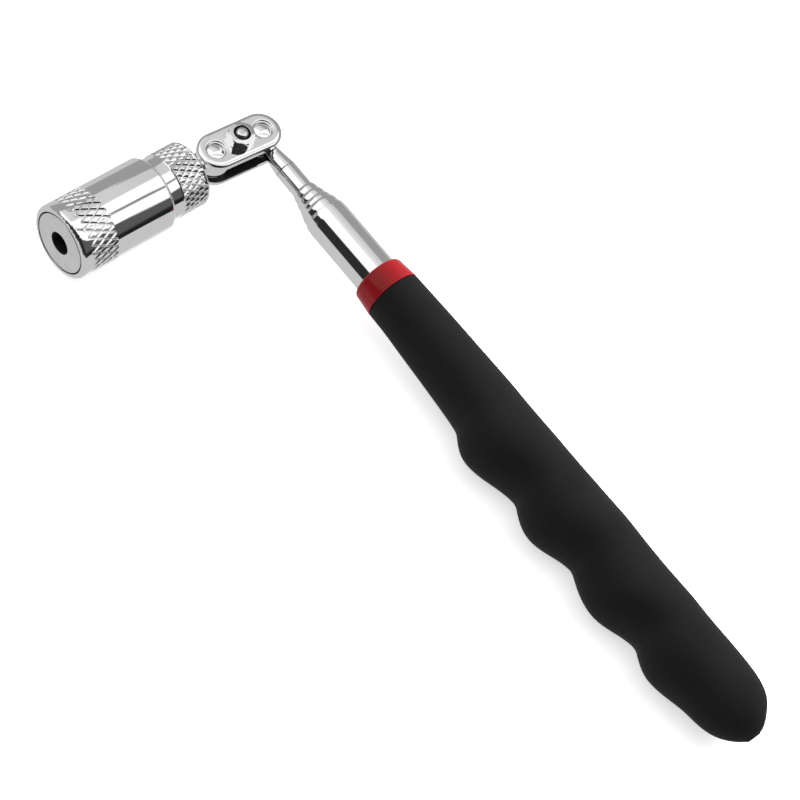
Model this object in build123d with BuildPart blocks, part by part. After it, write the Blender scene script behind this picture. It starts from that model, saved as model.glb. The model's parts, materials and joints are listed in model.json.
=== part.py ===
from build123d import *
import math
import os

# Telescoping magnetic pickup tool with a lighted head, lying on its side.
# Millimetres. +Z is up, +X runs from the knuckle along the mast to the end of the grip,
# and the magnet's face looks along -Y. The origin is the centre of the bounding box's base.

os.makedirs("parts", exist_ok=True)

# ---------------------------------------------------------------- driving dimensions
handle_length = 126.0  # collar and grip together
handle_width = 19.0  # across the widest finger bump
tool_thickness = 17.0  # the head and the grip both rest on the table
head_diameter = 17.0
mast_showing = 40.6  # mast ball's centre to the collar, with the mast pushed in
mast_reach = 615.0  # how much longer the mast gets when it is pulled out
ball_spacing = 12.3
ball_to_face = 41.4  # head ball's centre to the magnet's face
knuckle_skew = 4.3  # degrees that the knuckle stands off square to the mast

running_gap = 0.05  # radial clearance of what turns or slides
moving_gap = 0.3  # clearance between pieces that only pass each other

# ---------------------------------------------------------------- where things are
head_radius = head_diameter / 2
half_thickness = tool_thickness / 2
skew = math.radians(knuckle_skew)
head_off_x = -ball_spacing * math.sin(skew)  # head ball from mast ball
head_off_y = -ball_spacing * math.cos(skew)
handle_end = mast_showing + handle_length
spine_reach = 6.8  # the grip's back stands this far beyond the mast's axis

low_x = head_off_x - head_radius
low_y = head_off_y - ball_to_face
mast_ball = Vector(-(handle_end + low_x) / 2, -(spine_reach + low_y) / 2, half_thickness)
head_ball = mast_ball + Vector(head_off_x, head_off_y, 0)
knuckle_middle = (mast_ball + head_ball) * 0.5

along_mast = Vector(1, 0, 0)
along_head = Vector(0, -1, 0)
along_knuckle = (head_ball - mast_ball).normalized()

# half sections to revolve: x runs along the axis, y is the radius
mast_section = Plane(mast_ball, x_dir=along_mast, z_dir=(0, -1, 0))
head_section = Plane(head_ball, x_dir=along_head, z_dir=(-1, 0, 0))
mast_axis = Axis(mast_ball, along_mast)
head_axis = Axis(head_ball, along_head)
knuckle_plane = Plane(knuckle_middle, x_dir=along_knuckle, z_dir=(0, 0, 1))


def across_mast(x):
    """The plane square to the mast, x from the mast ball, facing the grip's end."""
    return Plane(mast_ball + along_mast * x, x_dir=(0, 1, 0), z_dir=along_mast)


def across_head(h):
    """The plane square to the head's axis, h from the head ball, facing the magnet."""
    return Plane(head_ball + along_head * h, x_dir=(0, 0, 1), z_dir=along_head)


def turned(outline, section, axis):
    """A turned solid from its half section's corners, given as (station, radius)."""
    with BuildPart() as solid:
        with BuildSketch(section):
            with BuildLine():
                Polyline(*outline, close=True)
            make_face()
        revolve(axis=axis)
    return solid.part


def export(part, name):
    """Labels a finished piece and writes it."""
    part.label = name
    export_step(part, f"parts/{name}.step")


# ---------------------------------------------------------------- telescoping mast
# Six tubes: five slide, and the sixth is fixed in the handle. Each front end is
# rolled in around the next tube, and each rear end carries a split friction sleeve.
section_count = 5
section_travel = mast_reach / section_count
tip_diameter = 4.9
diameter_step = 1.0
tube_wall = 0.3
lip_length = 1.2
sleeve_length = 3.0
sleeve_gap = 0.02  # the sleeve bears on the next tube
sleeve_split = 0.6
tip_front = 9.3
twist_gap = 0.08  # end clearance of what turns on a stud
tip_waist_radius = 1.65  # the tip tube closes round the ball stud's waist
rolled_edge = 0.35
tube_fronts = [tip_front + twist_gap, 15.3, 17.1, 18.9, 20.3]  # tip tube first
outer_front = 22.4
shoulder_length = 2.2
shoulder_face = 0.15  # flat left at the front of the outer tube's shoulder
outer_rear = 156.5


def tube_radius(number):
    """Outside radius of tube 1, the tip, to tube 6, the one in the handle."""
    return (tip_diameter + (number - 1) * diameter_step) / 2


fronts = tube_fronts + [outer_front]
for number in range(1, section_count + 1):
    front = fronts[number - 1]
    next_lip_end = fronts[number] + lip_length
    if number == section_count:
        next_lip_end = outer_front + shoulder_length
    rear = next_lip_end + moving_gap + sleeve_length + section_travel
    outer = tube_radius(number)
    inner = outer - tube_wall
    lip_radius = tube_radius(number - 1) + running_gap
    if number == 1:
        lip_radius = tip_waist_radius
    tube_outline = [
        (front, lip_radius),
        (front, outer - rolled_edge),
        (front + rolled_edge, outer),
        (rear, outer),
        (rear, inner),
        (front + lip_length, inner),
        (front + lip_length, lip_radius),
    ]
    tube = turned(tube_outline, mast_section, mast_axis)
    export(tube, f"mast_tube_{number}")

    sleeve_outer = tube_radius(number + 1) - tube_wall - sleeve_gap
    with BuildPart() as friction_sleeve:
        with BuildSketch(across_mast(rear - sleeve_length)):
            Circle(sleeve_outer)
            Circle(outer, mode=Mode.SUBTRACT)
            with Locations((0, outer)):
                Rectangle(sleeve_split, 2, mode=Mode.SUBTRACT)
        extrude(amount=sleeve_length)
    export(friction_sleeve.part, f"friction_sleeve_{number}")

outer_radius = tube_radius(section_count + 1)
outer_bore = outer_radius - tube_wall
throat = tube_radius(section_count) + running_gap
outer_tube_outline = [
    (outer_front, throat),
    (outer_front, throat + shoulder_face),
    (outer_front + shoulder_length, outer_radius),
    (outer_rear, outer_radius),
    (outer_rear, outer_bore),
    (outer_front + shoulder_length, outer_bore),
    (outer_front + shoulder_length, throat),
]
export(turned(outer_tube_outline, mast_section, mast_axis), "outer_tube")

plug_spigot = 1.6
plug_flange = 0.8
plug_outline = [
    (outer_rear - plug_spigot, 0),
    (outer_rear - plug_spigot, outer_bore),
    (outer_rear, outer_bore),
    (outer_rear, outer_radius),
    (outer_rear + plug_flange, outer_radius),
    (outer_rear + plug_flange, 0),
]
export(turned(plug_outline, mast_section, mast_axis), "tube_end_plug")

# ---------------------------------------------------------------- handle
collar_length = 5.5
collar_front_radius = 5.95
collar_rear_radius = 6.5
collar_edge = 0.4
collar_rear = mast_showing + collar_length
with BuildPart() as collar_ring:
    with BuildSketch(mast_section):
        with BuildLine():
            Polyline(
                (mast_showing, outer_radius),
                (mast_showing, collar_front_radius),
                (collar_rear, collar_rear_radius),
                (collar_rear, outer_radius),
                close=True,
            )
        make_face()
    revolve(axis=mast_axis)
    fillet(collar_ring.edges().filter_by(GeomType.CIRCLE).group_by(Axis.X)[0][-1], collar_edge)
export(collar_ring.part, "collar_ring")

# cross sections of the grip: station, back, finger side and half thickness,
# all from the mast's axis
grip_stations = [
    (collar_rear, 6.45, 6.45, 6.45),
    (51, 6.6, 6.6, 6.5),
    (58, 6.75, 7.1, 6.8),
    (66, 6.8, 7.65, 7.1),
    (74.5, 6.8, 8.3, 7.6),
    (78.5, 6.8, 8.75, 7.8),
    (81, 6.8, 10.6, 8.0),
    (84.5, 6.8, 11.9, 8.15),
    (88.4, 6.75, 11.4, 8.25),
    (93, 6.65, 9.75, 8.35),
    (97.5, 6.5, 8.95, 8.4),
    (101, 6.65, 10.7, 8.45),
    (105.5, 6.8, 12.0, half_thickness),
    (110.5, 6.75, 10.75, half_thickness),
    (116.3, 6.65, 9.0, half_thickness),
    (120, 6.65, 10.85, half_thickness),
    (125.5, 6.7, handle_width - 6.7, half_thickness),
    (131.5, 6.5, 11.05, half_thickness),
    (137, 6.35, 9.3, half_thickness),
    (140, 6.4, 10.8, 8.45),
    (144.3, 6.5, 12.1, 8.3),
    (150, 6.5, 11.0, 7.9),
    (155.5, 6.45, 10.3, 7.2),
    (159, 6.1, 9.9, 6.3),
    (162, 4.9, 8.8, 5.1),
    (164.5, 2.5, 6.9, 3.4),
    (handle_end, -0.6, 4.4, 1.2),
]
with BuildPart() as grip:
    for station, back, fingers, half_height in grip_stations:
        with BuildSketch(across_mast(station)):
            with Locations(((back - fingers) / 2, 0)):
                Ellipse((back + fingers) / 2, half_height)
    loft(ruled=True)
    with BuildSketch(across_mast(collar_rear)):
        Circle(outer_radius)
    extrude(amount=outer_rear + plug_flange - collar_rear, mode=Mode.SUBTRACT)
export(grip.part, "grip")

# ---------------------------------------------------------------- ball studs
ball_radius = 3.85
neck_radius = 1.75
neck_start = math.sqrt(ball_radius**2 - neck_radius**2)
neck_angle = math.degrees(math.asin(neck_radius / ball_radius))


def ball_stud(section, axis, rod):
    """A ball with a turned rod, from the rod's outline between neck and axis."""
    with BuildPart() as stud:
        with BuildSketch(section):
            with BuildLine():
                CenterArc((0, 0), ball_radius, 180, neck_angle - 180)
                Polyline((neck_start, neck_radius), *rod, (-ball_radius, 0))
            make_face()
        revolve(axis=axis)
    return stud.part


waist_radius = 1.6
waist_end = tip_front + lip_length + 2 * twist_gap
foot_radius = tube_radius(1) - tube_wall - running_gap
foot_length = 3.6
flare_start = 3.6
mast_rod = [
    (flare_start, neck_radius),
    (tip_front, tube_radius(1)),
    (tip_front, waist_radius),
    (waist_end, waist_radius),
    (waist_end, foot_radius),
    (waist_end + foot_length, foot_radius),
    (waist_end + foot_length, 0),
]
export(ball_stud(mast_section, mast_axis, mast_rod), "mast_ball_stud")

# the head's stations, from the head ball towards the magnet
cap_rear = 6.8
cap_wall = 2.1
rivet_radius = 2.6
rivet_length = 1.1
rivet_start = cap_rear + cap_wall + twist_gap
rivet_end = rivet_start + rivet_length
head_rod = [
    (rivet_start, neck_radius),
    (rivet_start, rivet_radius),
    (rivet_end, rivet_radius),
    (rivet_end, 0),
]
export(ball_stud(head_section, head_axis, head_rod), "head_ball_stud")

# ---------------------------------------------------------------- knuckle
plate_length = 20.6
plate_width = 9.2
plate_thickness = 1.75
plate_gap = 4.3  # between the two plates
seat_gap = 0.03  # round the balls
seat_hole_radius = 2.1
screw_radius = 1.5
plate_edge = 0.7  # rounding of the outer edge
plate_levels = {
    "knuckle_plate_upper": plate_gap / 2,
    "knuckle_plate_lower": -plate_gap / 2 - plate_thickness,
}

for name, level in plate_levels.items():
    outer_side = -1 if name.endswith("upper") else 0
    with BuildPart() as plate:
        with BuildSketch(knuckle_plane.offset(level)):
            SlotOverall(plate_length, plate_width)
            Circle(screw_radius, mode=Mode.SUBTRACT)
            with Locations((-ball_spacing / 2, 0), (ball_spacing / 2, 0)):
                Circle(seat_hole_radius, mode=Mode.SUBTRACT)
        extrude(amount=plate_thickness)
        with Locations(mast_ball, head_ball):
            Sphere(ball_radius + seat_gap, mode=Mode.SUBTRACT)
        outside = plate.faces().filter_by(Axis.Z).sort_by(Axis.Z)[outer_side]
        fillet(outside.outer_wire().edges(), plate_edge)
    export(plate.part, name)

screw_head_height = 1.9
screw_head_radius = 2.75
screw_head_edge = 0.8
recess_length = 3.0
recess_width = 0.7
recess_depth = 1.1
nut_across_flats = 5.5
nut_height = 2.45
nut_chamfer = 0.3
screw_point = 0.4  # how far the screw stands out of its nut
screw_point_edge = 0.5
stack_half = plate_gap / 2 + plate_thickness
nut_corner_radius = nut_across_flats / math.sqrt(3)

with BuildPart() as clamp_screw:
    with BuildSketch(knuckle_plane.offset(-stack_half - screw_head_height)):
        Circle(screw_head_radius)
    extrude(amount=screw_head_height)
    fillet(clamp_screw.edges().group_by(Axis.Z)[0], screw_head_edge)
    with BuildSketch(knuckle_plane.offset(-stack_half)):
        Circle(screw_radius)
    extrude(amount=2 * stack_half + nut_height + screw_point)
    fillet(clamp_screw.edges().group_by(Axis.Z)[-1], screw_point_edge)
    with BuildSketch(knuckle_plane.offset(-stack_half - screw_head_height)):
        Rectangle(recess_length, recess_width)
        Rectangle(recess_width, recess_length)
    extrude(amount=recess_depth, mode=Mode.SUBTRACT)
export(clamp_screw.part, "clamp_screw")

with BuildPart() as clamp_nut:
    with BuildSketch(Plane(knuckle_middle + Vector(0, 0, stack_half))):
        RegularPolygon(nut_corner_radius, 6)
        Circle(screw_radius, mode=Mode.SUBTRACT)
    extrude(amount=nut_height)
    top = clamp_nut.faces().sort_by(Axis.Z)[-1]
    chamfer(top.outer_wire().edges(), nut_chamfer)
export(clamp_nut.part, "clamp_nut")

# ---------------------------------------------------------------- lighted head
# stations from the head ball; the magnet's face is at ball_to_face
face = ball_to_face
shell_length = 24.5
rounding = 1.0  # of the shell's front edge and the cap's rear edge, as two chamfers
rounding_step = 0.3
cap_radius = 7.4
shell_rear = face - shell_length
cap_front = shell_rear - moving_gap  # the cap's shoulder behind the shell
spigot_length = 7.8
spigot_front = cap_front + spigot_length
shell_bore = 7.3
spigot_radius = shell_bore - running_gap
cap_bore = 6.3
groove_width = 0.7
groove_rear = cap_front + 1.0
groove_front = groove_rear + groove_width
groove_radius = 6.7
cap_outline = [
    (cap_rear, neck_radius + running_gap),
    (cap_rear, cap_radius - rounding),
    (cap_rear + rounding_step, cap_radius - rounding_step),
    (cap_rear + rounding, cap_radius),
    (cap_front, cap_radius),
    (cap_front, spigot_radius),
    (groove_rear, spigot_radius),
    (groove_rear, groove_radius),
    (groove_front, groove_radius),
    (groove_front, spigot_radius),
    (spigot_front, spigot_radius),
    (spigot_front, cap_bore),
    (cap_rear + cap_wall, cap_bore),
    (cap_rear + cap_wall, neck_radius + running_gap),
]
export(turned(cap_outline, head_section, head_axis), "rear_cap")

ring_radius = 0.28
with BuildPart() as o_ring:
    with BuildSketch(head_section):
        with Locations(((groove_rear + groove_front) / 2, groove_radius + ring_radius)):
            Circle(ring_radius)
    revolve(axis=head_axis)
export(o_ring.part, "o_ring")

pocket_radius = 7.15
magnet_radius = 7.0
magnet_hole = 2.7
magnet_depth = 5.2
magnet_edge = 0.15
magnet_hole_edge = 0.25
web_depth = 1.6
rear_chamfer_length = 1.2
rear_chamfer_height = 0.9
light_bore = 6.8
web_rear = face - magnet_depth - web_depth
shell_outline = [
    (face, pocket_radius),
    (face, head_radius - rounding),
    (face - rounding_step, head_radius - rounding_step),
    (face - rounding, head_radius),
    (shell_rear + rear_chamfer_length, head_radius),
    (shell_rear, head_radius - rear_chamfer_height),
    (shell_rear, shell_bore),
    (spigot_front + moving_gap, shell_bore),
    (spigot_front + moving_gap, light_bore),
    (web_rear, light_bore),
    (web_rear, magnet_hole),
    (face - magnet_depth, magnet_hole),
    (face - magnet_depth, pocket_radius),
]
export(turned(shell_outline, head_section, head_axis), "front_shell")

magnet_outline = [
    (face - magnet_depth, magnet_hole),
    (face - magnet_depth, magnet_radius),
    (face - magnet_edge, magnet_radius),
    (face, magnet_radius - magnet_edge),
    (face, magnet_hole + magnet_hole_edge),
    (face - magnet_hole_edge, magnet_hole),
]
export(turned(magnet_outline, head_section, head_axis), "ring_magnet")

led_radius = 2.5
led_flange_radius = 2.9
led_length = 8.6
led_tip = face - 2.0  # the light stands back from the magnet's face
led_flange_rear = led_tip - led_length
led_flange_front = led_flange_rear + 1.0
with BuildPart() as led_lens:
    with BuildSketch(head_section):
        with BuildLine():
            Polyline(
                (led_tip - led_radius, led_radius),
                (led_flange_front, led_radius),
                (led_flange_front, led_flange_radius),
                (led_flange_rear, led_flange_radius),
                (led_flange_rear, 0),
                (led_tip, 0),
            )
            CenterArc((led_tip - led_radius, 0), led_radius, 0, 90)
        make_face()
    revolve(axis=head_axis)
export(led_lens.part, "led_lens")

lead_length = 1.6  # between the light and its board
board_front = led_flange_rear - lead_length
board_thickness = 0.8
board_rear = board_front - board_thickness
lead_spacing = 2.54
lead_size = 0.5
light_gap = 0.1  # round the light in its holder
holder_bore = led_radius + light_gap
flange_bore = led_flange_radius + light_gap
holder_outline = [
    (web_rear, holder_bore),
    (web_rear, light_bore),
    (board_front, light_bore),
    (board_front, flange_bore),
    (led_flange_front, flange_bore),
    (led_flange_front, holder_bore),
]
export(turned(holder_outline, head_section, head_axis), "led_holder")

with BuildPart() as led_leads:
    with BuildSketch(across_head(board_rear)):
        with GridLocations(lead_spacing, 0, 2, 1):
            Rectangle(lead_size, lead_size)
    extrude(amount=led_flange_rear - board_rear)
export(led_leads.part, "led_leads")

with BuildPart() as led_board:
    with BuildSketch(across_head(board_rear)):
        Circle(light_bore)
        with GridLocations(lead_spacing, 0, 2, 1):
            Rectangle(lead_size, lead_size, mode=Mode.SUBTRACT)
    extrude(amount=board_thickness)
export(led_board.part, "led_board")

contact_height = 0.4
contact_radius = 2.2
contact_edge = 0.2
with BuildPart() as front_contact:
    with BuildSketch(across_head(board_rear - contact_height)):
        Circle(contact_radius)
    extrude(amount=contact_height)
    fillet(front_contact.edges().sort_by(Axis.Y)[-1], contact_edge)
export(front_contact.part, "front_contact")

# ---------------------------------------------------------------- battery and switch
# Turning the shell on the cap's thread brings the cells up to the light's contact.
thread_pitch = 0.75
switch_turn = 180.0  # degrees from off to on
switch_advance = thread_pitch * switch_turn / 360
cell_count = 3
cell_radius = 5.8
cell_height = 5.4
button_height = 0.4
button_radius = 4.6
crimp_edge = 0.3
base_edge = 0.2
stack_front = board_rear - contact_height - switch_advance - running_gap
stack_rear = stack_front - cell_count * cell_height

for number in range(1, cell_count + 1):
    top = stack_front - (number - 1) * cell_height
    shoulder = top - button_height
    base = top - cell_height
    cell_outline = [
        (top, 0),
        (top, button_radius),
        (shoulder, button_radius),
        (shoulder, cell_radius - crimp_edge),
        (shoulder - crimp_edge, cell_radius),
        (base + base_edge, cell_radius),
        (base, cell_radius - base_edge),
        (base, 0),
    ]
    export(turned(cell_outline, head_section, head_axis), f"button_cell_{number}")

sleeve_inner = cell_radius + 0.15
sleeve_outside = cap_bore - 0.1
sleeve_outline = [
    (stack_rear, sleeve_inner),
    (stack_rear, sleeve_outside),
    (board_rear, sleeve_outside),
    (board_rear, sleeve_inner),
]
export(turned(sleeve_outline, head_section, head_axis), "battery_sleeve")

wire_radius = 0.25
spring_base_radius = 5.0
spring_top_radius = 3.2
spring_turns = 3
spring_base = cap_rear + cap_wall + wire_radius + sleeve_gap
spring_top = stack_rear - wire_radius - running_gap
spring_height = spring_top - spring_base
spring_cone = math.degrees(math.atan((spring_base_radius - spring_top_radius) / spring_height))
with BuildPart() as contact_spring:
    with BuildLine():
        coil = Helix(
            pitch=spring_height / spring_turns,
            height=spring_height,
            radius=spring_base_radius,
            center=head_ball + along_head * spring_base,
            direction=along_head,
            cone_angle=-spring_cone,
        )
    with BuildSketch(Plane(coil @ 0, z_dir=coil % 0)):
        Circle(wire_radius)
    sweep(is_frenet=True)
export(contact_spring.part, "contact_spring")
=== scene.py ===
"""Looks of a telescoping magnetic pickup tool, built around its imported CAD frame.

Lengths are millimetres in the row frame and become metres when a mesh is made.
Stations along the mast are x from the mast ball; stations along the head run from
the head ball towards the magnet's face.
"""
import json
import math

import bmesh
import bpy
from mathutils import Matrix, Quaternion, Vector


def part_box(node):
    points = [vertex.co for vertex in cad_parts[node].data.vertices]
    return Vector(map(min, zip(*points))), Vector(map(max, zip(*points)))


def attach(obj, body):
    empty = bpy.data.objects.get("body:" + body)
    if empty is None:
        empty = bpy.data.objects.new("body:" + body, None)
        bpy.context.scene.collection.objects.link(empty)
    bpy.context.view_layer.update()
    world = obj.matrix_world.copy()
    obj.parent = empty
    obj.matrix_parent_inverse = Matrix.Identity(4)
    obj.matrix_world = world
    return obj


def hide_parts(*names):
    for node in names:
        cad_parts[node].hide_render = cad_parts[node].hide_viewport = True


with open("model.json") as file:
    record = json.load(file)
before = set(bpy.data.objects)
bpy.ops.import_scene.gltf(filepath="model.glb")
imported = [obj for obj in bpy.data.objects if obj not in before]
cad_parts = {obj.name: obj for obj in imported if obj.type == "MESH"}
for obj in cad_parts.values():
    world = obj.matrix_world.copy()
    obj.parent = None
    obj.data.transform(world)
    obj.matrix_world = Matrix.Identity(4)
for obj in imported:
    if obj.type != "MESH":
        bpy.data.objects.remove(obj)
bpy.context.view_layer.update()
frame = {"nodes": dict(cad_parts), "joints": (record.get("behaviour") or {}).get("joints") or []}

MM = 0.001
joints = {joint["name"]: joint for joint in frame["joints"]}


def low(node):
    """A CAD node's lowest corner, in millimetres."""
    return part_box(node)[0] / MM


def high(node):
    """A CAD node's highest corner, in millimetres."""
    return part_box(node)[1] / MM


# ------------------------------------------------------------ where things are
mast_ball = Vector(joints["mast_swing"]["pos_m"]) / MM
head_ball = Vector(joints["head_swing"]["pos_m"]) / MM
along_mast = Vector((1, 0, 0))
along_head = Vector((0, -1, 0))
along_knuckle = (head_ball - mast_ball).normalized()
knuckle_middle = (mast_ball + head_ball) / 2

collar_front = low("collar_ring").x - mast_ball.x
collar_rear = high("collar_ring").x - mast_ball.x
handle_end = high("grip").x - mast_ball.x
tube_fronts = [low(f"mast_tube_{n}").x - mast_ball.x for n in range(1, 6)]
tube_rears = [high(f"mast_tube_{n}").x - mast_ball.x for n in range(1, 6)]
tube_radii = [(high(f"mast_tube_{n}").z - low(f"mast_tube_{n}").z) / 2 for n in range(1, 6)]
outer_front = low("outer_tube").x - mast_ball.x
outer_rear = high("outer_tube").x - mast_ball.x
outer_radius = (high("outer_tube").z - low("outer_tube").z) / 2
tube_wall = 0.3  # as in the CAD

face = head_ball.y - low("ring_magnet").y
head_radius = (high("front_shell").x - low("front_shell").x) / 2
shell_rear = head_ball.y - high("front_shell").y
cap_rear = head_ball.y - high("rear_cap").y
spigot_front = head_ball.y - low("rear_cap").y
cap_radius = (high("rear_cap").x - low("rear_cap").x) / 2
ball_radius = (high("head_ball_stud").x - low("head_ball_stud").x) / 2

plate_top = high("knuckle_plate_upper").z - mast_ball.z
nut_top = high("clamp_nut").z - mast_ball.z
screw_top = high("clamp_screw").z - mast_ball.z
screw_bottom = low("clamp_screw").z - mast_ball.z


# ------------------------------------------------------------ mesh helpers
def smoothstep(x):
    """Eases from 0 to 1 as x does."""
    x = min(max(x, 0.0), 1.0)
    return x * x * (3 - 2 * x)


def through(points, x):
    """The height at x of a smooth curve through (x, height) points."""
    last = len(points) - 2
    k = next((i for i in range(last) if x < points[i + 1][0]), last)
    (x0, y0), (x1, y1) = points[k], points[k + 1]

    def slope(i):
        before, after = points[max(i - 1, 0)], points[min(i + 1, last + 1)]
        return (after[1] - before[1]) / (after[0] - before[0])

    span = x1 - x0
    t = min(max((x - x0) / span, 0.0), 1.0)
    return (
        y0 * (1 + 2 * t) * (1 - t) ** 2
        + y1 * t * t * (3 - 2 * t)
        + slope(k) * span * t * (1 - t) ** 2
        + slope(k + 1) * span * t * t * (t - 1)
    )


def rounded(corners, steps=5):
    """A closed outline from (station, radius, rounding) corners, with the corners as arcs."""
    straight, folded = 0.02, 3  # turns in radians that are left without an arc
    outline = []
    for k, (station, radius, rounding) in enumerate(corners):
        corner = Vector((station, radius))
        before = (Vector(corners[k - 1][:2]) - corner).normalized()
        after = (Vector(corners[(k + 1) % len(corners)][:2]) - corner).normalized()
        turn = math.pi - before.angle(after)
        if rounding == 0 or turn < straight or turn > folded:
            outline.append(tuple(corner))
            continue
        reach = rounding * math.tan(turn / 2)
        centre = corner + (before + after).normalized() * rounding / math.cos(turn / 2)
        start, end = corner + before * reach - centre, corner + after * reach - centre
        for step in range(steps + 1):
            share = step / steps
            outline.append(tuple(centre + start.slerp(end, share) * rounding))
    return outline


def piece(name, points, faces, material, body, replaces=(), slot=None, crease=30, slots=None):
    """Makes a smooth-shaded mesh from millimetre points and puts it on its body."""
    mesh = bpy.data.meshes.new(name)
    mesh.from_pydata([Vector(point) * MM for point in points], [], faces)
    materials = material if isinstance(material, list) else [material]
    for each in materials:
        mesh.materials.append(each)
    if slots:
        mesh.polygons.foreach_set("material_index", slots)
    mesh.validate()
    mesh.shade_smooth()
    mesh.set_sharp_from_angle(angle=math.radians(crease))
    made = bpy.data.objects.new(name, mesh)
    bpy.context.scene.collection.objects.link(made)
    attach(made, body)
    if replaces:
        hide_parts(*replaces)
    return made


def side_axes(axis):
    """Two directions square to an axis and to each other."""
    first = Vector((0, 0, 1)) if abs(axis.z) < 0.9 else Vector((1, 0, 0))
    return first, axis.cross(first)


def spun(outline, origin, axis, columns, relief=None, dark=None):
    """Points, faces and material slots of a closed outline turned about an axis.

    relief(station, radius, column) raises the surface, and dark(station, radius) picks the
    faces of the second material, which the head uses for painted shade.
    """
    first, second = side_axes(axis)
    points, faces, slots, rows = [], [], [], []
    for station, radius in outline:
        row = []
        if radius < 1e-6:
            row = [len(points)] * columns
            points.append(origin + axis * station)
        else:
            for column in range(columns):
                angle = 2 * math.pi * column / columns
                r = radius + (relief(station, radius, column) if relief else 0)
                row.append(len(points))
                way = first * math.cos(angle) + second * math.sin(angle)
                points.append(origin + axis * station + way * r)
        rows.append(row)
    for k, row in enumerate(rows):
        follow = (k + 1) % len(rows)
        middle = [(a + b) / 2 for a, b in zip(outline[k], outline[follow])]
        mark = 1 if dark and dark(*middle) else 0
        for column in range(columns):
            nearby = (column + 1) % columns
            ring = [row[column], row[nearby], rows[follow][nearby], rows[follow][column]]
            ring = list(dict.fromkeys(ring))
            if len(ring) > 2:
                faces.append(ring)
                slots.append(mark)
    return points, faces, slots


def turned(name, corners, origin, axis, material, body, columns=160, dark=None, **options):
    """A turned piece from its (station, radius, rounding) corners."""
    points, faces, slots = spun(rounded(corners), origin, axis, columns, dark=dark)
    return piece(name, points, faces, material, body, slots=slots, **options)


# ------------------------------------------------------------ materials
class Nodes:
    """Short names for the nodes of one material or world."""

    def __init__(self, owner):
        owner.use_nodes = True
        self.tree = owner.node_tree
        self.tree.nodes.clear()

    def add(self, kind, **settings):
        node = self.tree.nodes.new(kind)
        for key, value in settings.items():
            setattr(node, key, value)
        return node

    def feed(self, socket, value):
        if isinstance(value, bpy.types.NodeSocket):
            self.tree.links.new(value, socket)
        elif value is not None:
            socket.default_value = value

    def maths(self, operation, a, b=None, c=None):
        node = self.add("ShaderNodeMath", operation=operation)
        for socket, value in zip(node.inputs, (a, b, c)):
            self.feed(socket, value)
        return node.outputs[0]

    def ramp(self, value, low_in, high_in, low_out=0.0, high_out=1.0):
        """Eases from low_out to high_out as the value goes from low_in to high_in."""
        node = self.add("ShaderNodeMapRange", interpolation_type="SMOOTHSTEP")
        for socket, each in zip(node.inputs, (value, low_in, high_in, low_out, high_out)):
            self.feed(socket, each)
        return node.outputs[0]

    def mix(self, share, a, b):
        """The numbers a and b mixed."""
        return self.maths("MULTIPLY_ADD", self.maths("SUBTRACT", b, a), share, a)

    def tint(self, share, a, b):
        """The colours a and b mixed."""
        colour_a, colour_b, colour_out = 6, 7, 2  # the node's sockets for colours
        node = self.add("ShaderNodeMix", data_type="RGBA")
        self.feed(node.inputs[0], share)
        self.feed(node.inputs[colour_a], (*a, 1))
        self.feed(node.inputs[colour_b], (*b, 1))
        return node.outputs[colour_out]

    def place(self, stretch=(1, 1, 1)):
        """The piece's own coordinates, in metres, scaled."""
        spot = self.add("ShaderNodeTexCoord").outputs["Object"]
        node = self.add("ShaderNodeMapping")
        self.feed(node.inputs["Vector"], spot)
        self.feed(node.inputs["Scale"], stretch)
        return node.outputs[0]

    def noise(self, size, stretch=(1, 1, 1), detail=3.0):
        """Noise with features of about that many millimetres."""
        node = self.add("ShaderNodeTexNoise")
        self.feed(node.inputs["Vector"], self.place(stretch))
        self.feed(node.inputs["Scale"], 1 / (size * MM))
        self.feed(node.inputs["Detail"], detail)
        return node.outputs[0]

    def bump(self, height, depth):
        """A normal from a height of that many millimetres."""
        node = self.add("ShaderNodeBump")
        self.feed(node.inputs["Height"], height)
        self.feed(node.inputs["Distance"], depth * MM)
        return node.outputs[0]

    def surface(self, **inputs):
        shader = self.add("ShaderNodeBsdfPrincipled")
        for key, value in inputs.items():
            self.feed(shader.inputs[key.replace("_", " ")], value)
        out = self.add("ShaderNodeOutputMaterial")
        self.feed(out.inputs["Surface"], shader.outputs[0])


def metal(name, darker, bright, smooth, rough, patch=6.0, stretch=(1, 1, 1), ripple=0.0008):
    """A metal with faint patches in its colour and roughness, and a faint ripple."""
    material = bpy.data.materials.new(name)
    nodes = Nodes(material)
    cloud = nodes.ramp(nodes.noise(patch, detail=4.0), 0.35, 0.65)
    fine = nodes.noise(0.35, stretch)
    nodes.surface(
        Base_Color=nodes.tint(cloud, darker, bright),
        Metallic=1.0,
        Roughness=nodes.ramp(fine, 0.3, 0.7, smooth, rough),
        Normal=nodes.bump(fine, ripple),
    )
    return material


def moulded(name, colour, worn, rough, rougher, grain, depth, specular=0.5):
    """A moulded plastic or rubber with a fine grain."""
    material = bpy.data.materials.new(name)
    nodes = Nodes(material)
    cloud = nodes.ramp(nodes.noise(9.0, detail=5.0), 0.3, 0.7)
    fine = nodes.noise(grain, detail=2.0)
    nodes.surface(
        Base_Color=nodes.tint(cloud, colour, worn),
        Roughness=nodes.ramp(fine, 0.3, 0.7, rough, rougher),
        Specular_IOR_Level=specular,
        Normal=nodes.bump(fine, depth),
    )
    return material


def clear_resin():
    """Epoxy, as a light's lens is cast in, with the light off; its dark tint is painted shade of
    the dark hole it sits in.
    """
    material = bpy.data.materials.new("clear_resin")
    nodes = Nodes(material)
    fine = nodes.noise(0.6)
    nodes.surface(
        # Dark tint: painted shade of the hole behind the lens.
        Base_Color=nodes.tint(fine, (0.05, 0.05, 0.055), (0.075, 0.075, 0.08)),
        Roughness=nodes.ramp(fine, 0.3, 0.7, 0.02, 0.06),
        IOR=1.52,
        Transmission_Weight=0.9,
    )
    return material


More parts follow.
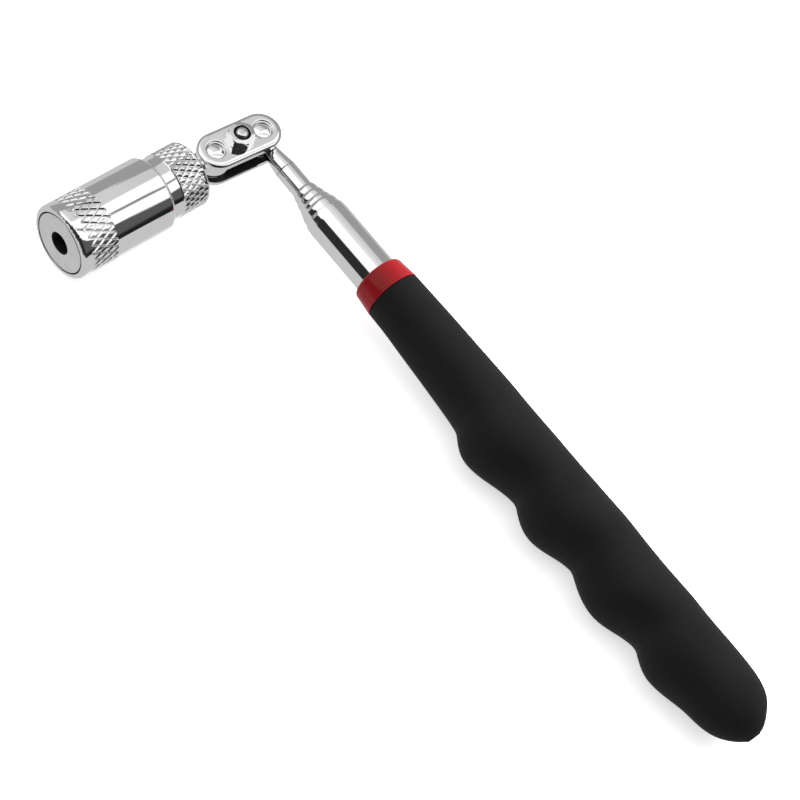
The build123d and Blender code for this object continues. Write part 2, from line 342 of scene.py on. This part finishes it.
chrome = metal("chrome", (0.93, 0.935, 0.94), (0.965, 0.965, 0.965), 0.035, 0.065)
steel = metal("zinc_steel", (0.80, 0.80, 0.79), (0.92, 0.92, 0.91), 0.07, 0.13, patch=2.0)
# Painted shade: this near-black steel goes on the knuckle plates' facing sides and in the nut's
# countersink and bore, which are dark only from shade.
darker = metal("painted_shade_steel", (0.05, 0.05, 0.052), (0.085, 0.085, 0.085), 0.4, 0.55)
nickel = metal("nickel", (0.86, 0.86, 0.85), (0.93, 0.93, 0.92), 0.28, 0.34, patch=3.0,
               ripple=0.0001)
tin = metal("tinned_leads", (0.70, 0.70, 0.70), (0.82, 0.82, 0.81), 0.2, 0.32)
brass = metal("brass", (0.70, 0.52, 0.24), (0.83, 0.65, 0.34), 0.18, 0.3)
spring = metal("spring_steel", (0.42, 0.42, 0.42), (0.6, 0.6, 0.59), 0.2, 0.34)
can = metal("cell_steel", (0.66, 0.66, 0.65), (0.8, 0.8, 0.79), 0.16, 0.26, patch=3.0)
red = moulded("red_plastic", (0.25, 0.009, 0.012), (0.27, 0.01, 0.014), 0.12, 0.18, 0.8, 0.001,
              specular=0.2)
rubber = moulded("grip_rubber", (0.009, 0.009, 0.009), (0.011, 0.011, 0.0108), 0.6, 0.75, 0.3,
                 0.004, specular=0.15)
# Black plastic on the light's holder and the tube's plug; on the head's pocket and the magnet's
# sides it is painted shade.
black = moulded("black_plastic", (0.012, 0.012, 0.013), (0.02, 0.02, 0.02), 0.4, 0.55, 0.4, 0.004)
seal = moulded("seal_rubber", (0.016, 0.016, 0.016), (0.024, 0.024, 0.024), 0.5, 0.7, 0.3, 0.004)
laminate = moulded("board_green", (0.02, 0.11, 0.05), (0.03, 0.16, 0.07), 0.3, 0.45, 0.5, 0.003)
film = moulded("clear_film", (0.55, 0.57, 0.58), (0.68, 0.69, 0.7), 0.15, 0.3, 1.5, 0.002)
resin = clear_resin()


# ------------------------------------------------------------ telescoping mast
lip_inset = 0.06  # the rolled end stands this far off the tube inside it
lip_length = 1.2  # the rolled end's own thickness along the mast, as in the CAD
shoulder_length = 2.2  # of the outer tube, as in the CAD


def rolled_tube(number, body, front, rear, radius, throat):
    """A sliding tube whose front end is rolled in as a bead round the next tube."""
    wall = radius - tube_wall
    nose, crest, bead_end = 0.12, 0.75, 1.5  # stations along the bead
    corners = [
        (front, throat, 0.03),
        (front + nose, radius - 0.3, 0.15),
        (front + crest, radius - 0.06, 0.8),
        (front + bead_end, radius, 1.0),
        (rear, radius, 0.08),
        (rear, wall, 0.08),
        (front + lip_length, wall, 0),
        (front + lip_length, throat, 0.05),
    ]
    turned(f"mast_tube_{number}_rolled", corners, mast_ball, along_mast, chrome, body,
           replaces=[f"mast_tube_{number}"], slot="chrome")


def outer_tube():
    """The tube in the handle, which has a cone for its front end."""
    throat = tube_radii[4] + lip_inset
    wall = outer_radius - tube_wall
    nose, crest = 0.08, 0.8  # stations along the cone
    corners = [
        (outer_front, throat, 0.03),
        (outer_front + nose, throat + 0.2, 0.15),
        (outer_front + crest, outer_radius - 0.08, 0.8),
        (outer_front + shoulder_length, outer_radius, 3.0),
        (outer_rear, outer_radius, 0.08),
        (outer_rear, wall, 0),
        (outer_front + shoulder_length, wall, 0),
        (outer_front + shoulder_length, throat, 0.05),
    ]
    turned("outer_tube_rolled", corners, mast_ball, along_mast, chrome, "handle",
           replaces=["outer_tube"], slot="chrome")


def mast():
    """The outer tube and its five sliding tubes."""
    for number in range(2, 6):
        k = number - 1
        rolled_tube(number, f"section_{number}", tube_fronts[k], tube_rears[k], tube_radii[k],
                    tube_radii[k - 1] + lip_inset)
    outer_tube()

    tip_waist = 1.65  # the radius of the hole that holds the stud's spigot
    radius = tube_radii[0]
    lip_end = tube_fronts[0] + lip_length
    corners = [
        (tube_fronts[0], tip_waist, 0.05),
        (tube_fronts[0], radius, 0.12),
        (tube_rears[0], radius, 0.08),
        (tube_rears[0], radius - tube_wall, 0.08),
        (lip_end, radius - tube_wall, 0),
        (lip_end, tip_waist, 0.05),
    ]
    turned("mast_tube_1_rolled", corners, mast_ball, along_mast, chrome, "section_1",
           replaces=["mast_tube_1"], slot="chrome")


def ball_profile(neck_radius, steps=20):
    """The ball's outline from its pole to its neck, as (station, radius, rounding)."""
    stop = math.pi - math.asin(neck_radius / ball_radius)
    turn = [stop * k / steps for k in range(steps + 1)]
    return [(-ball_radius * math.cos(a), ball_radius * math.sin(a), 0) for a in turn]


def studs():
    """The ball on the mast, which swells to the tip tube, and the ball riveted into the cap."""
    neck_radius = 1.75
    flare_end = tube_fronts[0] - 0.08
    flare = tube_radii[0]
    neck = math.sqrt(ball_radius**2 - neck_radius**2) + 0.3
    spigot = 1.6  # radius inside the tip tube's lip
    groove_end = flare_end + 1.35
    foot_radius = 2.1
    foot = high("mast_ball_stud").x - mast_ball.x
    corners = ball_profile(neck_radius) + [
        (neck, neck_radius + 0.01, 1.0),
        (flare_end, flare, 0.1),
        (flare_end, spigot, 0.05),
        (groove_end, spigot, 0.05),
        (groove_end, foot_radius, 0.1),
        (foot, foot_radius, 0.3),
        (foot, 0, 0),
    ]
    turned("mast_ball_stud_turned", corners, mast_ball, along_mast, chrome, "mast_stud",
           replaces=["mast_ball_stud"], slot="chrome")

    rivet = head_ball.y - low("head_ball_stud").y
    rivet_start = rivet - 1.1
    rivet_radius = 2.6
    corners = ball_profile(neck_radius) + [
        (rivet_start, neck_radius, 0.05),
        (rivet_start, rivet_radius, 0.15),
        (rivet, rivet_radius, 0.5),
        (rivet, 0, 0),
    ]
    turned("head_ball_stud_turned", corners, head_ball, along_head, chrome, "head_stud",
           replaces=["head_ball_stud"], slot="chrome")


# ------------------------------------------------------------ knuckle
plate_length = 20.6  # as in the CAD, like the next two
plate_width = 9.2
plate_thickness = 1.75
rim_width = 1.3  # of the rounding along the plate's outer edge
rim_drop = 0.8  # of that rounding, downwards
rim_edge = 0.15  # of the side that faces the other plate
seat_radius = ball_radius + 0.03
seat_hole = 2.1
screw_hole = 1.53
hole_bevel = 0.4  # round each ball's hole
screw_bevel = 0.1
cell_border = 2.6  # between the screw's part of a plate and a ball's part


def stadium(half):
    """Points round a plate's outline of that half width, with one at each cell border."""
    run = (plate_length - plate_width) / 2
    points = []

    def straight(start, end, v, steps):
        points.extend((start + (end - start) * k / steps, v) for k in range(steps))

    def end(side):
        steps = 48
        for k in range(steps):
            a = math.pi * (k / steps - 0.5)
            points.append((side * (run + half * math.cos(a)), side * half * math.sin(a)))

    straight(cell_border, run, -half, 6)
    end(1)
    straight(run, cell_border, half, 6)
    straight(cell_border, -cell_border, half, 12)
    straight(-cell_border, -run, half, 6)
    end(-1)
    straight(-run, -cell_border, -half, 6)
    straight(-cell_border, cell_border, -half, 12)
    return points


def cell(outline, centre):
    """One hole's share of a plate's outline, closed along the cell borders."""
    steps = 24
    half = max(v for u, v in outline)
    rise = [-half + 2 * half * k / steps for k in range(steps)]
    if centre > 0:
        edge = [point for point in outline if point[0] > cell_border - 1e-6]
        edge.sort(key=lambda point: math.atan2(point[1], point[0] - centre))
        return edge + [(cell_border, -v) for v in rise[1:]]
    if centre < 0:
        return [(-u, -v) for u, v in cell([(-u, -v) for u, v in outline], -centre)]
    inner = [point for point in outline if abs(point[0]) < cell_border + 1e-6]
    top = sorted((point for point in inner if point[1] > 0), reverse=True)
    bottom = sorted(point for point in inner if point[1] < 0)
    return (bottom + [(cell_border, v) for v in rise[1:]]
            + top + [(-cell_border, -v) for v in rise[1:]])


def circle(outline, centre, radius):
    """The outline's points pulled in to a circle round a hole's centre."""
    ring = []
    for u, v in outline:
        away = math.hypot(u - centre, v)
        ring.append((centre + (u - centre) * radius / away, v * radius / away))
    return ring


def knuckle_plate(side):
    """Points and faces of a plate with a rounded rim and a hole over each ball.

    side is 1 above and -1 below.
    """
    inner_level = plate_top - plate_thickness
    half = plate_width / 2
    across = Vector((0, 0, 1)).cross(along_knuckle)
    balls = (head_ball - mast_ball).length / 2
    points, faces = [], []

    def row(ring, level):
        first = len(points)
        for u, v in ring:
            height = level(u, v) if callable(level) else level
            points.append(knuckle_middle + along_knuckle * u + across * v
                          + Vector((0, 0, side * height)))
        return range(first, len(points))

    def strip(a, b):
        for k in range(len(a)):
            nearby = (k + 1) % len(a)
            faces.append([a[k], a[nearby], b[nearby], b[k]])

    def seat(u, v):
        level = inner_level
        for ball in (-balls, balls):
            away = math.hypot(u - ball, v)
            if away < seat_radius:
                level = max(level, math.sqrt(seat_radius**2 - away**2))
        return level

    def flat(outline, holes, level):
        """The face between an outline and the holes, given as (centre, radii)."""
        for centre, radii in holes:
            edge = cell(outline, centre)
            rings = [row(circle(edge, centre, radius), level) for radius in radii]
            rings.append(row(edge, level))
            for a, b in zip(rings, rings[1:]):
                strip(a, b)

    meet = math.sqrt(seat_radius**2 - inner_level**2)  # the seat's radius on the inner face
    seat_steps, rim_steps, bevel_steps = 10, 14, 5
    seat_rings = [seat_hole + (meet - seat_hole) * k / seat_steps for k in range(seat_steps + 1)]
    holes = [(-balls, seat_hole, hole_bevel), (0, screw_hole, screw_bevel),
             (balls, seat_hole, hole_bevel)]
    flat(stadium(half - rim_width),
         [(centre, [radius + bevel]) for centre, radius, bevel in holes], plate_top)
    flat(stadium(half - rim_edge), [(-balls, seat_rings), (0, [screw_hole]), (balls, seat_rings)],
         seat)
    rim = []
    for k in range(rim_steps + 1):
        turn = math.pi / 2 * k / rim_steps
        rim.append(row(stadium(half - rim_width * (1 - math.sin(turn))),
                       plate_top - rim_drop * (1 - math.cos(turn))))
    rim.append(row(stadium(half), inner_level + rim_edge))
    rim.append(row(stadium(half - rim_edge), inner_level))
    for a, b in zip(rim, rim[1:]):
        strip(a, b)
    for centre, radius, bevel in holes:
        upper, lower = [cell(stadium(half - inset), centre) for inset in (rim_width, rim_edge)]
        wall = []
        for k in range(bevel_steps + 1):
            turn = math.pi / 2 * k / bevel_steps
            wall.append(row(circle(upper, centre, radius + bevel * (1 - math.sin(turn))),
                            plate_top - bevel * (1 - math.cos(turn))))
        wall.append(row(circle(lower, centre, radius), seat))
        for a, b in zip(wall, wall[1:]):
            strip(a, b)
    return points, faces


def knuckle():
    """The two plates, with painted shade where they face each other, and their nut and screw."""
    for node, side in (("knuckle_plate_upper", 1), ("knuckle_plate_lower", -1)):
        points, faces = knuckle_plate(side)
        inner = mast_ball.z + side * (plate_top - plate_thickness)
        # Faces on the plate's inner side take the second material, painted shade of the gap
        # between the plates.
        slots = [1 if all(abs(points[k].z - inner) < 0.02 for k in ring) else 0 for ring in faces]
        made = piece(f"{node}_pressed", points, faces, [chrome, darker], "knuckle", [node],
                     "chrome", slots=slots)
        weld(made)

    nut()
    stem = 1.5  # radii of the screw's stem and head
    screw_head = 2.75
    head_top = screw_bottom + 1.9
    dome = 0.9  # the rounding of both its ends
    corners = [
        (screw_bottom, 0, 0),
        (screw_bottom, screw_head, dome),
        (head_top, screw_head, 0.12),
        (head_top, stem, 0.05),
        (screw_top, stem - 0.02, dome),
        (screw_top, 0, 0),
    ]
    turned("clamp_screw_turned", corners, knuckle_middle, Vector((0, 0, 1)), steel, "knuckle",
           columns=96, replaces=["clamp_screw"], slot="zinc_steel")


def weld(made):
    """Joins the points that lie on each other."""
    mesh = bmesh.new()
    mesh.from_mesh(made.data)
    bmesh.ops.remove_doubles(mesh, verts=mesh.verts, dist=1e-7)
    bmesh.ops.recalc_face_normals(mesh, faces=mesh.faces)
    mesh.to_mesh(made.data)
    mesh.free()
    made.data.set_sharp_from_angle(angle=math.radians(35))


nut_turn = math.radians(-12)  # of the hexagon, seen from above


def nut():
    """A hex nut with its corners turned off and painted shade in the countersink and bore round
    the screw.
    """
    flats = 5.5 / 2
    columns = 144
    bore, sink = 1.53, 1.9
    sink_depth = 0.7
    corner_cut = 0.12  # how far the chamfer starts outside the flats
    chamfer_depth = 0.32
    chamfer_slope = math.tan(math.radians(35))
    steps = 6
    rise = 0.2  # from the chamfer's end to the bright ring round the countersink
    points, faces, slots, rows = [], [], [], []

    def hexagon(angle):
        sector = (angle - nut_turn) % (math.pi / 3) - math.pi / 6
        return flats / math.cos(sector)

    def cut(angle, depth):
        """The hexagon's radius, cut by the chamfer cone near the nut's ends."""
        return min(hexagon(angle), flats + corner_cut + depth / chamfer_slope)

    # (level, depth into the chamfer or minus the radius of a round ring, material slot; slot 1 is
    # painted shade)
    rings = [(plate_top + chamfer_depth * k / steps, chamfer_depth * k / steps, 0)
             for k in range(steps + 1)]
    rings += [(nut_top - rise - chamfer_depth * k / steps, chamfer_depth * k / steps, 0)
              for k in range(steps, -1, -1)]
    rings += [(nut_top - 0.02, -(sink + 0.3), 0), (nut_top, -(sink + 0.05), 0),
              (nut_top - 0.03, -sink, 1), (nut_top - sink_depth, -bore, 1),
              (plate_top, -bore, 0)]
    for level, depth, mark in rings:
        row = []
        for column in range(columns):
            angle = 2 * math.pi * (column + 0.5) / columns
            r = cut(angle, depth) if depth >= 0 else -depth
            row.append(len(points))
            spot = Vector((r * math.cos(angle), r * math.sin(angle), level))
            points.append(knuckle_middle + spot)
        rows.append(row)
    for k, row in enumerate(rows):
        follow = rows[(k + 1) % len(rows)]
        for column in range(columns):
            nearby = (column + 1) % columns
            faces.append([row[column], row[nearby], follow[nearby], follow[column]])
            slots.append(rings[k][2])
    piece("clamp_nut_hex", points, faces, [steel, darker], "knuckle", ["clamp_nut"], "zinc_steel",
          crease=14, slots=slots)


# ------------------------------------------------------------ lighted head
diamonds = 30  # of the knurl, around
cuts = 6  # mesh steps in half a diamond


def knurl(start, length, rows, depth, groove, fade_start, fade_end):
    """The stations of a diamond knurl's rows and its relief(station, radius, column).

    Every groove runs along mesh diagonals. groove is its half width in pitches.
    """
    slack = 0.01  # in rows, for the band's own ends
    step = length / rows
    stations = [start + step * k for k in range(rows + 1)]

    def relief(station, radius, column):
        along = (station - start) / step
        if along < -slack or along > rows + slack:
            return 0.0
        right, left = (column + along) / (2 * cuts), (column - along) / (2 * cuts)
        near = min(abs(right - round(right)), abs(left - round(left)))
        shape = math.sin(math.pi / 2 * min(near / groove, 1.0))
        fade = smoothstep((station - start) / fade_start) if fade_start else 1
        fade *= smoothstep((start + length - station) / fade_end) if fade_end else 1
        return -depth * (1 - shape) * fade

    return stations, relief


def knurled(name, node, corners_before, band, corners_after, relief, material, body, dark=None):
    """A turned piece with a knurled band; the band's quads are split along their grooves."""
    outline = rounded(corners_before + corners_after)
    columns = diamonds * 2 * cuts
    first_band = min(range(len(outline)), key=lambda k: abs(outline[k][0] - band[0][0])
                     + abs(outline[k][1] - band[0][1]))
    outline = outline[:first_band] + band + outline[first_band + 2:]
    start, end = first_band, first_band + len(band) - 1
    points, faces, slots = spun(outline, head_ball, along_head, columns, relief, dark)
    split, marks = [], []
    for k, ring in enumerate(faces):
        row, column = divmod(k, columns)
        if start <= row < end and len(ring) == 4:
            along = row - start if band[1][0] > band[0][0] else end - row - 1
            right = (column + along + 1) / (2 * cuts)
            left = (column - along) / (2 * cuts)
            by_right = abs(right - round(right)) < abs(left - round(left))
            if band[1][0] < band[0][0]:
                by_right = not by_right
            a, b, c, d = ring
            split += [[a, b, d], [b, c, d]] if by_right else [[a, b, c], [a, c, d]]
            marks += [slots[k]] * 2
        else:
            split.append(ring)
            marks.append(slots[k])
    return piece(name, points, split, material, body, [node], "chrome", crease=18, slots=marks)


magnet_depth = 5.2
bulkhead = face - 6.8  # the wall behind the magnet


def front_shell():
    pocket, hole = 7.22, 2.7  # radii round the magnet and round the light
    bore, counterbore = 6.8, 7.3  # radii round the cells and round the cap's spigot
    step = spigot_front + 0.3
    stations, relief = knurl(face - 9.1, 7.0, 26, 0.26, 0.24, 0.25, 1.4)
    before = [
        (face, pocket, 0.12),
        (face - magnet_depth, pocket, 0),
        (face - magnet_depth, hole, 0),
        (bulkhead, hole, 0),
        (bulkhead, bore, 0),
        (step, bore, 0),
        (step, counterbore, 0),
        (shell_rear, counterbore, 0.05),
        (shell_rear, head_radius - 0.5, 0.12),
        (shell_rear + 0.6, head_radius, 0.4),
    ]
    band = [(station, head_radius) for station in stations]
    after = [
        (band[0][0], head_radius, 0),
        (band[-1][0], head_radius, 0),
        (face, head_radius, 0.95),
    ]
    # The pocket, the light's hole and the bulkhead take the black: painted shade inside the head.
    knurled("front_shell_knurled", "front_shell", before, band, after, relief,
            [chrome, black], "head",
            dark=lambda s, r: r < pocket + 0.01 and s > bulkhead - 0.01)


def ring_magnet():
    """The magnet: nickel on its face, and black behind that and in its hole, as painted shade of
    the gap round it.
    """
    front, rear = face - 0.03, face - magnet_depth + 0.02
    hole, rim = 2.65, 6.92
    nickel_band = 0.25  # how far the nickel shows behind the face; behind that the sides are painted shade
    corners = [
        (front, hole, 0.06),
        (rear, hole, 0),
        (rear, rim, 0),
        (front, rim, 0.14),
    ]
    # Faces behind the nickel band and in the hole take the black: painted shade.
    turned("ring_magnet_plated", corners, head_ball, along_head, [nickel, black], "head",
           replaces=["ring_magnet"], slot="nickel_magnet",
           dark=lambda s, r: s < face - nickel_band or r < hole + 0.01)


def rear_cap():
    """The cap: a knurled band, a plain neck, and a spigot with the O-ring's groove."""
    spigot, groove, cavity, stud_hole = 7.25, 6.7, 6.3, 1.8  # radii
    crest, neck = cap_radius + 0.04, cap_radius - 0.12
    band_start = cap_rear + 0.5
    band_length, rows = face - 27.7 - band_start, 30
    stations, relief = knurl(band_start, band_length, rows, 0.3, 0.5, 0.5, 0.3)
    band = [(station, crest) for station in stations]
    shoulder = shell_rear - 0.3
    floor_front = cap_rear + 2.1
    before = [
        (shoulder + 0.2, spigot, 0),
        (shoulder + 1.0, spigot, 0),
        (shoulder + 1.0, groove, 0),
        (shoulder + 1.7, groove, 0),
        (shoulder + 1.7, spigot, 0),
        (spigot_front, spigot, 0.2),
        (spigot_front, cavity, 0),
        (floor_front, cavity, 0),
        (floor_front, stud_hole, 0.1),
        (cap_rear, stud_hole, 0.2),
        (cap_rear, cap_radius - 0.1, 0.55),
    ]
    after = [
        (band[0][0], crest, 0),
        (band[-1][0], crest, 0),
        (band[-1][0] + 0.2, neck, 0.1),
        (shoulder, neck, 0.15),
    ]
    knurled("rear_cap_knurled", "rear_cap", before, band, after, relief, [chrome, black], "cap")


def led_lens():
    flange, lens = 2.9, 2.5  # radii
    rear = face - 10.6
    flange_front, tip = rear + 1.0, rear + 8.6
    corners = [
        (rear, 0, 0),
        (rear, flange, 0.1),
        (flange_front, flange, 0.1),
        (flange_front, lens, 0.05),
        (tip, lens, 2.4),
        (tip, 0, 0),
    ]
    turned("led_lens_cast", corners, head_ball, along_head, resin, "head", columns=96,
           replaces=["led_lens"], slot="clear_lens")


# ------------------------------------------------------------ handle
# Curves of (station, distance from the mast's axis), towards the handle's end.
bumps = [  # corner station, corner height, peak station, peak height
    (78.4, 8.8, 84.9, 11.95),
    (98.1, 8.93, 105.7, 12.05),
    (116.5, 9.0, 126.3, 12.3),
    (137.3, 9.3, 144.4, 12.1),
]
finger_lead = [(46.1, 6.45), (51, 6.6), (58, 7.1), (66, 7.65), (74.5, 8.3), (78.4, 8.8)]
finger_tail = [(155.5, 10.3), (159, 9.9), (162, 8.8), (164.5, 6.9), (166, 5.2), (166.6, 4.0)]
back_line = [
    (46.1, 6.45), (51, 6.6), (58, 6.75), (66, 6.8), (84.5, 6.8), (93, 6.65), (97.5, 6.5),
    (105.5, 6.8), (118, 6.65), (137, 6.35), (150, 6.5), (155.5, 6.45), (159, 6.1), (162, 4.9),
    (164.5, 2.5), (166, 0.4), (166.6, -1.2),
]
half_limit = 8.5  # half the CAD grip's size along Z
half_line = [
    (46.1, 6.45), (51, 6.5), (58, 6.8), (66, 7.1), (74.5, 7.6), (84.5, 8.15), (97.5, 8.4),
    (105.5, 8.5), (137, 8.5), (144.3, 8.3), (150, 7.9), (155.5, 7.2), (159, 6.3), (162, 5.1),
    (164.5, 3.4), (166, 1.8), (166.6, 0.6),
]


def finger_line(x):
    """How far the finger side stands from the mast's axis: four bumps, steep in front."""
    if x <= bumps[0][0]:
        return through(finger_lead, x)
    if x >= finger_tail[0][0]:
        return through(finger_tail, x)
    k = max(i for i, bump in enumerate(bumps) if x >= bump[0])
    corner, low_height, peak, height = bumps[k]
    if x < peak:
        share = (x - corner) / (peak - corner)
        return low_height + (height - low_height) * math.sin(math.pi / 2 * share)
    end, end_height = bumps[k + 1][:2] if k + 1 < len(bumps) else finger_tail[0]
    share = (x - peak) / (end - peak)
    return height + (end_height - height) * (1 - math.cos(math.pi * share)) / 2


def half_thickness(x):
    """Half the grip's size along Z, kept inside the CAD's."""
    return min(through(half_line, x), half_limit)


def softened(line, x, reach=0.9, samples=7):
    """A line's average around x, which rounds its corners off."""
    total = 0.0
    for k in range(samples):
        total += line(x + reach * (2 * k / (samples - 1) - 1))
    return total / samples


def collar():
    hole = outer_radius + 0.02
    front_radius, rear_radius = 5.95, 6.5
    corners = [
        (collar_front, hole, 0.1),
        (collar_front, front_radius, 0.9),
        (collar_rear, rear_radius, 0.1),
        (collar_rear, hole, 0),
    ]
    turned("collar_ring_moulded", corners, mast_ball, along_mast, red, "handle",
           replaces=["collar_ring"], slot="red_plastic")


def grip():
    columns = 144
    step = 0.55
    nose = 158.0  # the station where the rings start to crowd towards the end
    count = round((nose - collar_rear) / step)
    stations = [collar_rear + (nose - collar_rear) * k / count for k in range(count + 1)]
    nose_rings = 40
    stations += [nose + (handle_end - nose) * math.sin(math.pi / 2 * k / nose_rings)
                 for k in range(1, nose_rings + 1)]
    points, faces, rows = [], [], []

    def ring(x, back, fingers, half):
        row = []
        for column in range(columns):
            angle = 2 * math.pi * column / columns
            y = (back - fingers) / 2 + (back + fingers) / 2 * math.cos(angle)
            row.append(len(points))
            points.append(mast_ball + Vector((x, y, half * math.sin(angle))))
        rows.append(row)

    bore = outer_radius
    edge = 0.5  # of the rounding beside the collar
    edge_steps = 4
    ring(outer_rear, bore, bore, bore)
    ring(collar_rear, bore, bore, bore)
    for k in range(edge_steps + 1):
        turn = math.pi / 2 * k / edge_steps
        inset = edge * (1 - math.sin(turn))
        x = collar_rear + edge * (1 - math.cos(turn))
        ring(x, through(back_line, x) - inset, softened(finger_line, x) - inset,
             half_thickness(x) - inset)
    for x in stations:
        if x > collar_rear + edge:
            ring(x, through(back_line, x), softened(finger_line, min(x, handle_end)),
                 half_thickness(x))
    for row, follow in zip(rows, rows[1:]):
        for column in range(columns):
            nearby = (column + 1) % columns
            faces.append([row[column], row[nearby], follow[nearby], follow[column]])
    faces.append(rows[-1][::-1])
    faces.append(rows[0])
    piece("grip_moulded", points, faces, rubber, "handle", ["grip"], "grip_rubber", crease=50)


# ------------------------------------------------------------ inner pieces
finishes = {
    "o_ring": seal,
    "led_holder": black,
    "led_leads": tin,
    "led_board": laminate,
    "front_contact": brass,
    "battery_sleeve": film,
    "contact_spring": spring,
    "tube_end_plug": black,
}
finishes.update({f"friction_sleeve_{n}": brass for n in range(1, 6)})
finishes.update({f"button_cell_{n}": can for n in range(1, 4)})


def finish_inner_pieces():
    """Gives the CAD pieces inside the tool their materials."""
    for node, material in finishes.items():
        mesh = frame["nodes"][node].data
        mesh.materials.clear()
        mesh.materials.append(material)


# ------------------------------------------------------------ studio
def studio_world():
    """A photographer's tent: white above, grey walls behind, black cards on the camera's side."""
    world = bpy.data.worlds.new("studio")
    bpy.context.scene.world = world
    nodes = Nodes(world)
    way = nodes.add("ShaderNodeTexCoord").outputs["Generated"]
    split = nodes.add("ShaderNodeSeparateXYZ")
    nodes.feed(split.inputs[0], way)
    x, y, z = split.outputs

    def beyond(a, b, c, soft=0.03):
        """1 where a x + b y + c z is above 0, with a soft edge, for a way (x, y, z)."""
        total = nodes.maths("MULTIPLY_ADD", x, a, nodes.maths("MULTIPLY_ADD", y, b,
                            nodes.maths("MULTIPLY", z, c)))
        return nodes.ramp(total, -soft, soft)

    def both(*shares):
        total = shares[0]
        for share in shares[1:]:
            total = nodes.maths("MULTIPLY", total, share)
        return total

    def paint(level, share, value):
        return nodes.mix(share, level, value)

    white, wall_grey, seam_grey, card_black, card_sheen = 1.06, 0.33, 0.28, 0.026, 0.095
    level = white
    panel = both(beyond(-1, 0, -0.23), beyond(0, 1, -0.02), beyond(0, -1, 0.8))
    level = paint(level, panel, nodes.ramp(y, 0.0, 0.62, 0.8, 0.6))
    back_wall = both(beyond(-1, 0, -0.23), beyond(0, 1, -0.8))
    side_wall = beyond(-1, 0, -1.6)
    far_wall = beyond(0, 1, -1.3)
    for wall in (back_wall, side_wall, far_wall):
        level = paint(level, wall, wall_grey)
    seam_lean, seam_shift, seam_half = 1.61, 0.068, 0.09
    seam = both(beyond(-seam_lean, 1, seam_shift + seam_half, 0.02),
                beyond(seam_lean, -1, -seam_shift + seam_half, 0.02))
    level = paint(level, both(seam, nodes.ramp(y, -0.6, 0.4)), seam_grey)
    sheen = both(nodes.ramp(z, 0.04, 0.16), nodes.ramp(y, -0.2, 0.3))
    card = nodes.mix(sheen, card_black, card_sheen)
    level = paint(level, beyond(1.07, -1, -0.61, 0.035), card)
    under = nodes.maths("MULTIPLY_ADD", x, -0.2, nodes.maths("MULTIPLY_ADD", y, 0.45,
                        nodes.maths("MULTIPLY", z, -0.87)))
    below = nodes.ramp(under, 0.86, 1.0, 0.57, 0.92)
    level = paint(level, nodes.ramp(z, -0.08, -0.17), below)

    plain = nodes.add("ShaderNodeBackground")
    nodes.feed(plain.inputs["Color"], (0.94, 0.94, 0.94, 1))
    painted = nodes.add("ShaderNodeBackground")
    nodes.feed(painted.inputs["Color"], level)
    choose = nodes.add("ShaderNodeMixShader")
    nodes.feed(choose.inputs[0], nodes.add("ShaderNodeLightPath").outputs["Is Camera Ray"])
    nodes.feed(choose.inputs[1], painted.outputs[0])
    nodes.feed(choose.inputs[2], plain.outputs[0])
    out = nodes.add("ShaderNodeOutputWorld")
    nodes.feed(out.inputs["Surface"], choose.outputs[0])


def soft_light(name, place, aim, size, power):
    """A soft light that doesn't show in the chrome."""
    lamp = bpy.data.lights.new(name, "AREA")
    lamp.shape = "DISK"
    lamp.size = size
    lamp.energy = power
    made = bpy.data.objects.new(name, lamp)
    bpy.context.scene.collection.objects.link(made)
    made.location = place
    made.rotation_mode = "QUATERNION"
    made.rotation_quaternion = (Vector(aim) - Vector(place)).to_track_quat("-Z", "Y")
    made.visible_glossy = False


def floor():
    """A pale floor that catches the tool's shadow and doesn't show in the chrome."""
    half = 3.0
    mesh = bpy.data.meshes.new("floor")
    corners = [(-half, -half, 0), (half, -half, 0), (half, half, 0), (-half, half, 0)]
    mesh.from_pydata(corners, [], [(0, 1, 2, 3)])
    material = bpy.data.materials.new("pale_floor")
    nodes = Nodes(material)
    cloud = nodes.noise(400.0)
    nodes.surface(
        Base_Color=nodes.tint(cloud, (0.9, 0.9, 0.9), (0.93, 0.93, 0.93)),
        Roughness=0.9,
        Emission_Color=(1, 1, 1, 1),
        Emission_Strength=0.62,
    )
    mesh.materials.append(material)
    made = bpy.data.objects.new("floor", mesh)
    bpy.context.scene.collection.objects.link(made)
    made.visible_glossy = False


def camera():
    """Looks down on the tool from its front right, turned so that the grip runs down the frame."""
    azimuth, elevation, roll = (math.radians(angle) for angle in (27.21, 56.33, 26.68))
    distance = 0.6992  # metres from the point it aims at
    back = Vector((math.sin(azimuth) * math.cos(elevation),
                   -math.cos(azimuth) * math.cos(elevation), math.sin(elevation)))
    aim = Vector((-18.1, 20.2, -11.8)) * MM
    data = bpy.data.cameras.new("camera")
    data.sensor_width = 36.0
    data.lens = 146.1
    data.clip_start, data.clip_end = 0.01, 20.0
    made = bpy.data.objects.new("camera", data)
    bpy.context.scene.collection.objects.link(made)
    made.location = aim + back * distance
    made.rotation_mode = "QUATERNION"
    made.rotation_quaternion = (-back).to_track_quat("-Z", "Y") @ Quaternion((0, 0, 1), roll)
    bpy.context.scene.camera = made


mast()
studs()
knuckle()
front_shell()
ring_magnet()
rear_cap()
led_lens()
collar()
grip()
finish_inner_pieces()
studio_world()
soft_light("key", place=(-0.2, 0.9, 0.5), aim=(0, 0, 0), size=0.7, power=22)
soft_light("fill", place=(0.3, -0.2, 1.2), aim=(0, 0, 0), size=1.2, power=3)
floor()
camera()
bpy.context.scene.view_settings.view_transform = "Standard"
